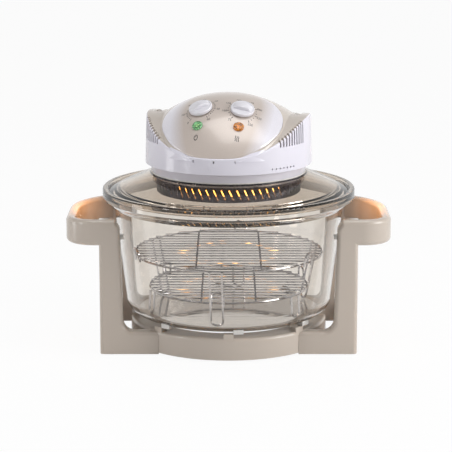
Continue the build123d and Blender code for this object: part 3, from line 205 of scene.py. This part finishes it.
def pearl_lacquer(name, middle, painted_highlight):
    """Pearl lacquer under clear coat: fine flake, champagne in the middle, and a painted highlight that turns it
    paler towards the panel's left and right edges.
    """
    made, tree, shader = material(name, Metallic=0.15, Roughness=0.32, Coat_Weight=0.6, Coat_Roughness=0.06)
    spot = Vector((*PANEL_MIDDLE, 0))
    spot.rotate(Matrix.Rotation(HEAD_YAW, 3, "Z"))
    coords = add(tree, "ShaderNodeTexCoord").outputs["Object"]
    values = {"Location": spot, "Rotation": (0, 0, HEAD_YAW), "Scale": (*PANEL_HIGHLIGHT_OVAL, 1000)}
    oval = add(tree, "ShaderNodeMapping", values, {"Vector": coords}, vector_type="TEXTURE").outputs[0]
    # painted highlight: paler towards the panel's left and right edges, where the side lamps reflect
    colour = tint(tree, step(tree, distance(tree, oval), 0.45, 1.02), linear(middle), linear(painted_highlight))
    flake = add(tree, "ShaderNodeTexVoronoi", {"Scale": 2200.0}, {"Vector": place(tree)}).outputs["Distance"]
    tree.links.new(shaded(tree, colour, spread(tree, flake, 1.0, 0.9)), shader.inputs["Base Color"])
    bump(tree, shader, flake, 0.00002, 0.35)
    return made


def matte_moulding(name, code, roughness=0.5):
    """Spark-eroded black nylon or ABS: fine even grain, no shine."""
    base = linear(code)
    made, tree, shader = material(name, Roughness=roughness, IOR=1.5)
    light = [min(1, c * 1.25 + 0.004) for c in base[:3]] + [1.0]
    tree.links.new(tint(tree, noise(tree, 0.0012, 3), base, light), shader.inputs["Base Color"])
    bump(tree, shader, noise(tree, 0.0006, 3), 0.00006)
    return made


def tempered_glass(name, code):
    """Pressed soda-lime glass: clear, a little violet-grey in the thick edges, wavy from the mould."""
    made, tree, shader = material(name, Roughness=0.0, IOR=1.47, Transmission_Weight=1.0)
    shader.inputs["Base Color"].default_value = linear(code)
    bump(tree, shader, noise(tree, 0.035, 1), 0.0004, 0.5)
    return made


def lens_acrylic(name, code):
    """Tinted acrylic indicator lens, lit from behind by its small bulb."""
    made, tree, shader = material(name, Roughness=0.08, IOR=1.49, Transmission_Weight=0.5)
    base = linear(code)
    shade = [c * 0.3 for c in base[:3]] + [1.0]
    facets = add(tree, "ShaderNodeTexVoronoi", {"Scale": 420.0}, {"Vector": place(tree)}).outputs["Distance"]
    colour = tint(tree, facets, base, shade)
    tree.links.new(colour, shader.inputs["Base Color"])
    tree.links.new(colour, shader.inputs["Emission Color"])
    shader.inputs["Emission Strength"].default_value = 0.2
    bump(tree, shader, facets, 0.0004, 0.8)
    return made


def punched_guard(name, steel, slot_shade):
    """Dark enamelled sheet steel, punched all over with small slanting slots 4 mm apart, the slots coloured near
    black as painted shade.
    """
    made, tree, shader = material(name, Metallic=0.5, Roughness=0.42)
    coords = place(tree, turn=(0, 0, -HEAD_YAW))
    parts = add(tree, "ShaderNodeSeparateXYZ", links={0: coords}).outputs
    angle = maths(tree, "ARCTAN2", parts["Y"], parts["X"])
    lean = maths(tree, "MULTIPLY", parts["Z"], 0.7 / GUARD_R)
    around = maths(tree, "MULTIPLY", maths(tree, "ADD", angle, lean), 150.0)
    rows = maths(tree, "MULTIPLY", parts["Z"], 2 * math.pi / 0.0052)
    dots = maths(tree, "MULTIPLY", maths(tree, "SINE", around, 0), maths(tree, "SINE", rows, 0))
    open_share = step(tree, dots, 0.15, 0.4)
    # painted shade: the slots are coloured near black for the dark seen through them
    colour = tint(tree, open_share, linear(steel), linear(slot_shade))
    tree.links.new(colour, shader.inputs["Base Color"])
    tree.links.new(spread(tree, noise(tree, 0.003), 0.32, 0.48), shader.inputs["Roughness"])
    bump(tree, shader, maths(tree, "SUBTRACT", 1.0, open_share), 0.0006)
    return made


def panel_ink(name):
    """Pad-printed dark grey ink, a little uneven in thickness."""
    made, tree, shader = material(name, Roughness=0.45)
    colour = tint(tree, noise(tree, 0.0008), linear("#1F1D1C"), linear("#2B2827"))
    tree.links.new(colour, shader.inputs["Base Color"])
    return made


def metal(name, code, roughness, grain=0.0008, stretch=(1, 1, 1), depth=0.00001):
    """Metal with the fine marks of how it was drawn, turned or rolled."""
    made, tree, shader = material(name, Metallic=1.0, Roughness=roughness)
    base = linear(code)
    shade = [c * 0.82 for c in base[:3]] + [1.0]
    marks = noise(tree, grain, 3, vector=place(tree, stretch=stretch))
    tree.links.new(tint(tree, marks, shade, base), shader.inputs["Base Color"])
    tree.links.new(spread(tree, marks, roughness * 0.8, roughness * 1.3), shader.inputs["Roughness"])
    bump(tree, shader, marks, depth)
    return made


def laminations(name):
    """Silicon-steel stack: half-millimetre sheets seen edge on, varnished."""
    made, tree, shader = material(name, Metallic=1.0, Roughness=0.4)
    bands = add(
        tree,
        "ShaderNodeTexWave",
        {"Scale": 320.0, "Distortion": 0.2},
        {"Vector": place(tree)},
        wave_type="BANDS",
        bands_direction="Z",
    ).outputs["Fac"]
    colour = tint(tree, bands, linear("#55504C"), linear("#8C8780"))
    tree.links.new(colour, shader.inputs["Base Color"])
    bump(tree, shader, bands, 0.0001)
    return made


def winding(name):
    """Enamelled copper wire wound side by side, 0.6 mm thick."""
    made, tree, shader = material(name, Metallic=0.9, Roughness=0.3)
    turns = add(
        tree,
        "ShaderNodeTexWave",
        {"Scale": 260.0, "Distortion": 0.4},
        {"Vector": place(tree, turn=(0, 0, -HEAD_YAW))},
        wave_type="BANDS",
        bands_direction="X",
    ).outputs["Fac"]
    colour = tint(tree, turns, linear("#5E2A14"), linear("#C0703C"))
    tree.links.new(colour, shader.inputs["Base Color"])
    bump(tree, shader, turns, 0.0003)
    return made


def soft_rubber(name, code, roughness=0.6):
    """Moulded rubber or silicone: soft sheen, dusty pores."""
    base = linear(code)
    made, tree, shader = material(name, Roughness=roughness, IOR=1.45, Sheen_Weight=0.15)
    light = [min(1, c * 1.15 + 0.01) for c in base[:3]] + [1.0]
    tree.links.new(tint(tree, noise(tree, 0.002, 4), base, light), shader.inputs["Base Color"])
    bump(tree, shader, noise(tree, 0.0008, 2), 0.00005)
    return made


def lit_quartz(name, power):
    """Quartz tube of the lit halogen ring: the whole tube glows warm."""
    made, tree, shader = material(name, Roughness=0.1, IOR=1.46, Transmission_Weight=0.6)
    glow = tint(tree, noise(tree, 0.012), linear("#FF9A2E"), linear("#FFC46A"))
    tree.links.new(glow, shader.inputs["Emission Color"])
    shader.inputs["Emission Strength"].default_value = power
    return made


def steatite(name):
    """Unglazed white ceramic, slightly sandy."""
    made, tree, shader = material(name, Roughness=0.7)
    colour = tint(tree, noise(tree, 0.001, 4), linear("#D9D4CA"), linear("#EFEBE2"))
    tree.links.new(colour, shader.inputs["Base Color"])
    bump(tree, shader, noise(tree, 0.0005, 3), 0.00005)
    return made


def skin(x, y, lift):
    """A spot on the dome's skin, raised by lift, turned with the head."""
    side = math.sqrt(DOME_SIDE_R**2 - y**2)
    ring = DOME_SIDE_Z + side - DOME_AXIS_Z
    height = math.sqrt(ring**2 - x**2)
    normal = Vector((x / ring * side, y, height / ring * side)) / DOME_SIDE_R
    spot = Vector((x, y, DOME_AXIS_Z + height)) + normal * lift
    spot.rotate(Matrix.Rotation(HEAD_YAW, 3, "Z"))
    return spot


def finish_piece(mesh, name, body, made):
    """Turn a bmesh into a piece that rides on a body, with a finish."""
    data = bpy.data.meshes.new(name)
    mesh.to_mesh(data)
    mesh.free()
    data.materials.clear()
    data.materials.append(made)
    piece = bpy.data.objects.new(name, data)
    bpy.context.scene.collection.objects.link(piece)
    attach(piece, body)
    return piece


def dress(made, *nodes):
    """Give a finish to nodes of the model."""
    for node in nodes:
        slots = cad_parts[node].material_slots
        for slot in slots:
            slot.material = made


# ------------------------------------------------------------------ settings


class OvenColours(bpy.types.PropertyGroup):
    """Settings a user may change: how bright the lit halogen ring glows."""

    glow: FloatProperty(name="Lamp glow", description="Brightness of the lit halogen ring", default=4.0, min=0)


class OvenStage(bpy.types.PropertyGroup):
    """The camera, the light and the floor."""

    camera_place: FloatVectorProperty(
        name="Camera", description="Where the camera stands", subtype="TRANSLATION", default=(0, -2.4947, 0.6906)
    )
    camera_target: FloatVectorProperty(
        name="Target", description="What the camera looks at", subtype="TRANSLATION", default=(0, 0, 0.1833)
    )
    lens: FloatProperty(name="Lens", description="Focal length in millimetres", default=149.66, min=10)
    floor_size: FloatProperty(name="Floor", description="Width of the floor", default=60, unit="LENGTH")
    world_light: FloatProperty(name="Sky light", description="Strength of the even light", default=0.4, min=0)


# ------------------------------------------------------------------ operators


class OVEN_OT_stand(bpy.types.Operator):
    """Finish the ring, arms, feet and bumpers"""

    bl_idname = "oven.stand"
    bl_label = "Stand"

    def execute(self, context):
        dress(gloss_abs("ivory gloss polypropylene", "#C4B8AC", 0.22), "left_arm", "right_arm", "base_ring")
        dress(soft_rubber("clear silicone", "#D9D6D2", 0.4), "bowl_pads", "bowl_bumpers", "lid_gasket")
        dress(soft_rubber("black rubber", "#1B1A1A"), "rubber_feet", "cord_grommet")
        return {"FINISHED"}


class OVEN_OT_glass(bpy.types.Operator):
    """Finish the bowl and the lid's glass"""

    bl_idname = "oven.glass"
    bl_label = "Bowl and lid glass"

    def execute(self, context):
        dress(tempered_glass("pressed tempered glass", "#F3EFEA"), "glass_bowl")
        # painted reflection: the lid's faint bronze tint stands in for the warm glow of the lit lamp reflected in
        # its clear glass
        dress(tempered_glass("tempered glass with painted warm reflection", "#D9CDBF"), "glass_lid")
        return {"FINISHED"}


class OVEN_OT_racks(bpy.types.Operator):
    """Finish the wire racks"""

    bl_idname = "oven.racks"
    bl_label = "Racks"

    def execute(self, context):
        chrome = metal("chromed wire", "#D8D8DC", 0.12)
        dress(chrome, "high_rack", "high_rack_legs", "low_rack", "low_rack_legs")
        return {"FINISHED"}


class OVEN_OT_housing(bpy.types.Operator):
    """Finish the head's mouldings"""

    bl_idname = "oven.housing"
    bl_label = "Head housing"

    def execute(self, context):
        dress(sprayed_housing("sprayed gloss ABS", "#CDC3BA", "#E9E6F1"), "upper_housing")
        dress(gloss_abs("white gloss ABS", "#E4E1EA", 0.24), "lower_housing")
        dress(gloss_abs("champagne gloss ABS", "#CDC3BA", 0.26), "handle")
        dress(pearl_lacquer("pearl lacquer with painted highlight", "#D6C9C0", "#F6F3FB"), "control_panel")
        return {"FINISHED"}


class OVEN_OT_controls(bpy.types.Operator):
    """Finish the dials, lamps and what is behind them"""

    bl_idname = "oven.controls"
    bl_label = "Controls"

    def execute(self, context):
        dress(gloss_abs("white knob ABS", "#E6E4EA", 0.15), "timer_knob", "thermostat_knob")
        dress(lens_acrylic("green acrylic", "#9ADBA2"), "power_lamp_lens")
        dress(lens_acrylic("amber acrylic", "#F0A03C"), "heat_lamp_lens")
        dress(matte_moulding("black nylon", "#1C1C1E"), "timer_unit", "thermostat_unit", "micro_switch")
        dress(matte_moulding("grey nylon", "#3A3A3D"), "switch_plunger", "cooling_fan", "terminal_block")
        return {"FINISHED"}


class OVEN_OT_scales(bpy.types.Operator):
    """Print the dials' scales and the signs of the two lamps"""

    bl_idname = "oven.scales"
    bl_label = "Dial scales and lamp signs"

    def execute(self, context):
        ink = panel_ink("pad-printed ink")
        knob_x, knob_y = KNOB_SPOT
        minutes = [str(n) for n in range(0, 61, 10)]
        degrees = [str(n) for n in range(75, 251, 25)]
        self.scale("timer_scale", ink, (-knob_x, knob_y), minutes, 5)
        self.scale("thermostat_scale", ink, (knob_x, knob_y), degrees, 3)
        self.signs(ink)
        return {"FINISHED"}

    def scale(self, name, ink, middle, figures, parts):
        """Marks round a knob from lower left, over the top, to lower right, with a figure at each long one."""
        mesh = bmesh.new()
        count = (len(figures) - 1) * parts
        sweep = math.radians(290)
        for n in range(count + 1):
            turn = math.pi / 2 + sweep / 2 - sweep * n / count
            long = n % parts == 0
            length = 0.0032 if long else 0.0018
            self.bar(mesh, (TICK_W, length), middle, turn, KNOB_R + 0.0016 + length / 2)
            if long:
                reach = KNOB_R + 0.0078
                spot = (middle[0] + reach * math.cos(turn), middle[1] + reach * math.sin(turn))
                self.figure(mesh, figures[n // parts], spot)
        self.lay(mesh, name, ink)

    def signs(self, ink):
        """A mains sign under the left lens and a heat sign under the right one."""
        mesh = bmesh.new()
        lens_x, lens_y = LENS_SPOT
        low = lens_y - LENS_R - 0.0055
        for n in range(13):
            turn = math.radians(90 + 40 + 280 * n / 12)
            self.bar(mesh, (0.0012, TICK_W), (-lens_x, low), turn, 0.0022)
        self.bar(mesh, (TICK_W, 0.0025), (-lens_x, low + 0.0016), math.pi / 2, 0)
        for side in (-1, 0, 1):
            for n in range(4):
                spot = (lens_x + side * 0.0021, low + (n - 1.5) * 0.0012)
                lean = math.radians(90 + (28 if n % 2 else -28))
                self.bar(mesh, (TICK_W, 0.0016), spot, lean, 0)
        self.lay(mesh, "lamp_signs", ink)

    def bar(self, mesh, size, middle, turn, reach):
        """A thin printed bar, square to a radius from a middle."""
        made = bmesh.ops.create_cube(mesh, size=1)["verts"]
        bmesh.ops.scale(mesh, vec=(size[0], size[1], INK), verts=made)
        bmesh.ops.translate(mesh, vec=(0, reach, 0), verts=made)
        bmesh.ops.rotate(mesh, matrix=Matrix.Rotation(turn - math.pi / 2, 3, "Z"), verts=made)
        bmesh.ops.translate(mesh, vec=(*middle, 0), verts=made)

    def figure(self, mesh, text, spot):
        """A printed number, upright, centred on a spot."""
        curve = bpy.data.curves.new("figure", "FONT")
        curve.body, curve.size, curve.extrude = text, FIGURE_H, INK / 2
        curve.align_x, curve.align_y, curve.resolution_u = "CENTER", "CENTER", 3
        holder = bpy.data.objects.new("figure", curve)
        letters = bpy.data.meshes.new_from_object(holder)
        letters.transform(Matrix.Translation((*spot, 0)))
        mesh.from_mesh(letters)
        bpy.data.objects.remove(holder)
        bpy.data.curves.remove(curve)
        bpy.data.meshes.remove(letters)

    def lay(self, mesh, name, ink):
        """Lay flat print on the panel's skin and make it a piece of the lid."""
        for vert in mesh.verts:
            vert.co = skin(vert.co.x, vert.co.y, PANEL_PROUD + vert.co.z)
        bmesh.ops.recalc_face_normals(mesh, faces=mesh.faces)
        finish_piece(mesh, name, "lid", ink)


class OVEN_OT_heater(bpy.types.Operator):
    """Finish the lamp, its holders, the sheet metal and the guard"""

    bl_idname = "oven.heater"
    bl_label = "Heater"

    def execute(self, context):
        glow = context.scene.oven_colours.glow
        dress(lit_quartz("lit quartz tube", glow), "halogen_lamp")
        dress(lit_quartz("neon indicator bulb", 0.6), "indicator_bulbs")
        dress(steatite("steatite"), "lamp_holders")
        dress(metal("bright aluminium sheet", "#D6D6D8", 0.28), "reflector", "heat_shield", "hot_air_fan")
        dress(metal("stainless capillary", "#B9B9BC", 0.3), "thermostat_sensor", "thermal_cutout")
        dress(punched_guard("punched enamelled steel", "#37322E", "#070605"), "mesh_guard")
        return {"FINISHED"}


class OVEN_OT_works(bpy.types.Operator):
    """Finish the motor, screws and pins"""

    bl_idname = "oven.works"
    bl_label = "Motor and fixings"

    def execute(self, context):
        dress(laminations("silicon-steel laminations"), "motor_stator", "motor_rotor")
        dress(winding("enamelled copper winding"), "motor_coil")
        dress(metal("zinc-plated steel", "#B4B4B8", 0.32), "motor_bearings", "motor_shaft", "lid_clamp_ring")
        dress(metal("plated screw steel", "#A9A9AE", 0.3), "arm_screws", "guard_screws", "housing_screws")
        dress(metal("ground steel pin", "#BDBDC1", 0.2), "handle_pins")
        return {"FINISHED"}


class OVEN_OT_stage(bpy.types.Operator):
    """Floor, light and camera"""

    bl_idname = "oven.stage"
    bl_label = "Stage"

    def execute(self, context):
        scene = context.scene
        stage = scene.oven_stage
        self.floor(stage.floor_size)
        self.sky(scene, stage.world_light)
        self.lamp("strip_left", (-1.7, -1.1, 0.6), (0.22, 1.6), 7)
        self.lamp("right", (2.0, -0.9, 0.9), (1.2, 1.4), 32)
        self.lamp("overhead", (0.1, -0.3, 2.2), (1.4, 1.4), 16)
        self.lamp("edge_left", (-0.9, -0.11, 0.13), (0.2, 0.22), 0.45)
        for side in (-1, 1):
            self.spill(f"lamp_spill_{'left' if side < 0 else 'right'}", side, 0.5)
        eye = bpy.data.objects.new("camera", bpy.data.cameras.new("camera"))
        scene.collection.objects.link(eye)
        eye.location = stage.camera_place
        gaze = Vector(stage.camera_target) - eye.location
        eye.rotation_euler = gaze.to_track_quat("-Z", "Y").to_euler()
        eye.data.lens = stage.lens
        eye.data.sensor_width = 36
        eye.data.shift_x = -0.0058
        eye.data.shift_y = -0.0462
        eye.data.clip_end = 100
        scene.camera = eye
        scene.view_settings.view_transform = "Standard"
        return {"FINISHED"}

    def lamp(self, name, spot, size, power):
        """A rectangular soft lamp that faces the oven."""
        data = bpy.data.lights.new(name, "AREA")
        data.shape = "RECTANGLE"
        data.size, data.size_y = size
        data.energy = power
        lamp = bpy.data.objects.new(name, data)
        bpy.context.scene.collection.objects.link(lamp)
        lamp.location = spot
        lamp.rotation_euler = (Vector((0, 0, 0.2)) - lamp.location).to_track_quat("-Z", "Y").to_euler()

    def sky(self, scene, strength):
        """An even grey light that is seen as white, and darker overhead and in front in glass and gloss."""
        world = bpy.data.worlds.new("studio")
        world.use_nodes = True
        tree = world.node_tree
        backdrop = tree.nodes["Background"]
        backdrop.inputs["Color"].default_value = (1, 1, 1, 1)
        path = add(tree, "ShaderNodeLightPath").outputs
        way = add(tree, "ShaderNodeTexCoord").outputs["Generated"]
        parts = add(tree, "ShaderNodeSeparateXYZ", links={0: way}).outputs
        overhead = step(tree, parts["Z"], 0.15, 0.75)
        front = step(tree, parts["Y"], -0.4, -0.9)
        dark = maths(tree, "MAXIMUM", overhead, front)
        mirrored = add(tree, "ShaderNodeMapRange", {"To Min": 1.0, "To Max": 0.3}, {"Value": dark}).outputs[0]
        bent = maths(tree, "MAXIMUM", path["Is Glossy Ray"], path["Is Transmission Ray"])
        plain = add(tree, "ShaderNodeMapRange", {"To Min": strength, "To Max": 0.1 * strength}, {"Value": front})
        ends = {"Value": bent, "To Min": plain.outputs[0], "To Max": mirrored}
        lit = add(tree, "ShaderNodeMapRange", links=ends).outputs[0]
        level = add(tree, "ShaderNodeMapRange", {"To Max": 1.0}, {"Value": path["Is Camera Ray"], "To Min": lit})
        tree.links.new(level.outputs[0], backdrop.inputs["Strength"])
        scene.world = world

    def spill(self, name, side, power):
        """Warm light from the halogen ring that comes out through the glass onto a hand loop."""
        data = bpy.data.lights.new(name, "SPOT")
        data.energy = power
        data.color = linear("#FFB060")[:3]
        data.shadow_soft_size = 0.015
        data.spot_size = math.radians(120)
        data.spot_blend = 0.8
        lamp = bpy.data.objects.new(name, data)
        bpy.context.scene.collection.objects.link(lamp)
        lamp.location = (0.166 * side, -0.01, 0.232)
        aim = Vector((0.182 * side, 0.0, 0.15)) - lamp.location
        lamp.rotation_euler = aim.to_track_quat("-Z", "Y").to_euler()
        lamp.visible_camera = lamp.visible_glossy = lamp.visible_transmission = False

    def floor(self, size):
        """A pale floor that keeps the oven's shadow."""
        mesh = bmesh.new()
        bmesh.ops.create_grid(mesh, x_segments=2, y_segments=2, size=size / 2)
        data = bpy.data.meshes.new("floor")
        mesh.to_mesh(data)
        mesh.free()
        ground = bpy.data.objects.new("floor", data)
        bpy.context.scene.collection.objects.link(ground)
        made, tree, shader = material("pale floor", Roughness=0.6)
        shader.inputs["Base Color"].default_value = linear("#F4F4F4")
        white = add(tree, "ShaderNodeEmission")
        path = add(tree, "ShaderNodeLightPath").outputs
        bent = maths(tree, "MAXIMUM", path["Is Glossy Ray"], path["Is Transmission Ray"])
        share = add(tree, "ShaderNodeMath", {1: 0.6}, {0: bent}, operation="MULTIPLY")
        share = add(tree, "ShaderNodeMath", {1: 0.94, 2: 0.0}, {0: path["Is Camera Ray"], 2: share.outputs[0]}, operation="MULTIPLY_ADD")
        blend = add(
            tree,
            "ShaderNodeMixShader",
            links={0: share.outputs[0], 1: shader.outputs[0], 2: white.outputs[0]},
        )
        tree.links.new(blend.outputs[0], tree.nodes["Material Output"].inputs["Surface"])
        data.materials.append(made)


PIECES = (
    OVEN_OT_stand,
    OVEN_OT_glass,
    OVEN_OT_racks,
    OVEN_OT_housing,
    OVEN_OT_controls,
    OVEN_OT_scales,
    OVEN_OT_heater,
    OVEN_OT_works,
    OVEN_OT_stage,
)


class OVEN_PT_panel(bpy.types.Panel):
    """Sidebar panel with the settings and one button for each group of pieces"""

    bl_idname = "OVEN_PT_panel"
    bl_label = "Halogen oven"
    bl_space_type = "VIEW_3D"
    bl_region_type = "UI"
    bl_category = "Oven"

    def draw(self, context):
        for group in (context.scene.oven_colours, context.scene.oven_stage):
            box = self.layout.box()
            for key in group.__annotations__:
                box.prop(group, key)
        for piece in PIECES:
            self.layout.operator(piece.bl_idname)


CLASSES = (OvenColours, OvenStage, *PIECES, OVEN_PT_panel)


def register():
    for cls in CLASSES:
        bpy.utils.register_class(cls)
    bpy.types.Scene.oven_colours = PointerProperty(type=OvenColours)
    bpy.types.Scene.oven_stage = PointerProperty(type=OvenStage)


def unregister():
    del bpy.types.Scene.oven_stage
    del bpy.types.Scene.oven_colours
    for cls in reversed(CLASSES):
        bpy.utils.unregister_class(cls)


def main():
    register()
    for piece in PIECES:
        getattr(bpy.ops.oven, piece.bl_idname.split(".")[1])()


if __name__ == "__main__":
    main()
